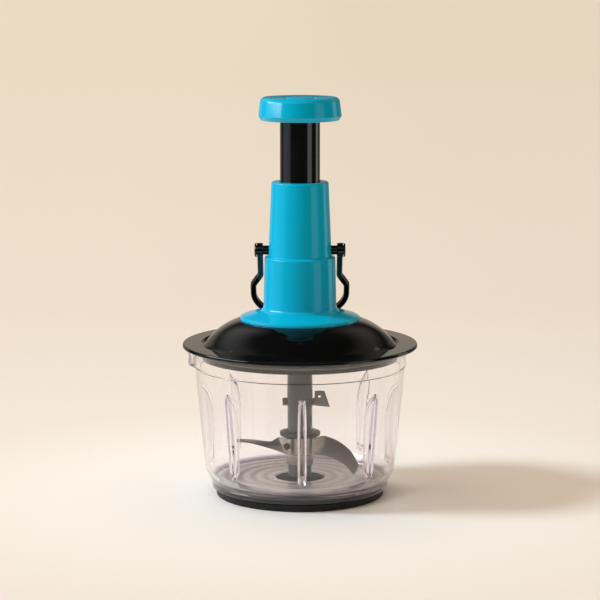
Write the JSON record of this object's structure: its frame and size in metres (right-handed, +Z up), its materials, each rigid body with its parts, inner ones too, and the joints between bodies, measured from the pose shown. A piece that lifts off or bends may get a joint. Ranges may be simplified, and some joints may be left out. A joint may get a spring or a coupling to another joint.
{
  "type": "plunger food chopper",
  "caption": "Hand food chopper: clear fluted bowl, black domed lid, blue tower with a press-down knob that spins a bladed shaft, and a black bail that locks the knob.",
  "frame": {"origin": "on the bowl's axis, where the foot ring meets the table", "axes": "+Z up along the bowl's axis, -Y towards the front, +X to the right, along the bail's pivot"},
  "size_m": [0.1648, 0.1648, 0.2795],
  "materials": {
    "clear_plastic": "clear, polished",
    "black_plastic": "gloss",
    "black_rubber": "matte",
    "cyan_plastic": "gloss",
    "silicone": "satin",
    "grey_plastic": "satin",
    "acetal": "satin",
    "blade_steel": "brushed",
    "turned_steel": "turned",
    "spring_steel": "drawn wire"
  },
  "bodies": {
    "bowl_body": {"bowl": "clear_plastic", "base_ring": "black_rubber", "pivot_seat": "black_plastic", "pivot_pin": "turned_steel"},
    "lid": {"lid_cover": "black_plastic", "lid_plate": "black_plastic", "lid_seal": "silicone", "tower": "cyan_plastic", "plate_screw_1": "turned_steel", "plate_screw_2": "turned_steel", "plate_screw_3": "turned_steel", "plate_screw_4": "turned_steel", "tower_screw_1": "turned_steel", "tower_screw_2": "turned_steel", "tower_screw_3": "turned_steel", "tower_screw_4": "turned_steel", "drive_bearing": "acetal", "guide_bush": "acetal", "bail_pin_right": "black_plastic", "bail_pin_left": "black_plastic", "return_spring": "spring_steel"},
    "plunger": {"plunger_tube": "black_plastic", "stop_ring": "black_plastic", "knob": "cyan_plastic", "knob_base": "cyan_plastic", "knob_screw": "turned_steel", "knob_plug": "cyan_plastic", "drive_nut": "acetal"},
    "drive": {"drive_screw": "turned_steel", "drive_coupling": "grey_plastic", "spring_seat": "acetal"},
    "blades": {"blade_shaft": "grey_plastic", "shaft_collar": "grey_plastic", "blade_band": "blade_steel", "blade_ring": "turned_steel", "pivot_bush": "acetal", "right_blade": "blade_steel", "left_blade": "blade_steel", "blade_screw": "turned_steel", "upper_blade": "blade_steel"},
    "bail_handle": {"bail": "black_plastic"}
  },
  "joints": [
    {"name": "lid_lift", "type": "slide", "parent": "bowl_body", "child": "lid", "axis": [0, 0, 1], "range_m": [0, 0.12]},
    {"name": "plunger_press", "type": "slide", "parent": "lid", "child": "plunger", "axis": [0, 0, -1], "range_m": [0, 0.042], "stiffness_N_per_m": 250, "springref_m": -0.025, "deforming": ["return_spring"]},
    {"name": "drive_spin", "type": "hinge", "parent": "lid", "child": "drive", "pos_m": [0, 0, 0.15], "axis": [0, 0, 1], "range_deg": [0, 541]},
    {"name": "blade_spin", "type": "hinge", "parent": "bowl_body", "child": "blades", "pos_m": [0, 0, 0.05], "axis": [0, 0, 1], "range_deg": [0, 541]},
    {"name": "bail_swing", "type": "hinge", "parent": "lid", "child": "bail_handle", "pos_m": [0, 0, 0.173], "axis": [1, 0, 0], "range_deg": [0, 118]}
  ],
  "couplings": [
    {"joint": "drive_spin", "follows": "plunger_press", "rad_per_m": 224.4},
    {"joint": "blade_spin", "follows": "plunger_press", "rad_per_m": 224.4}
  ]
}
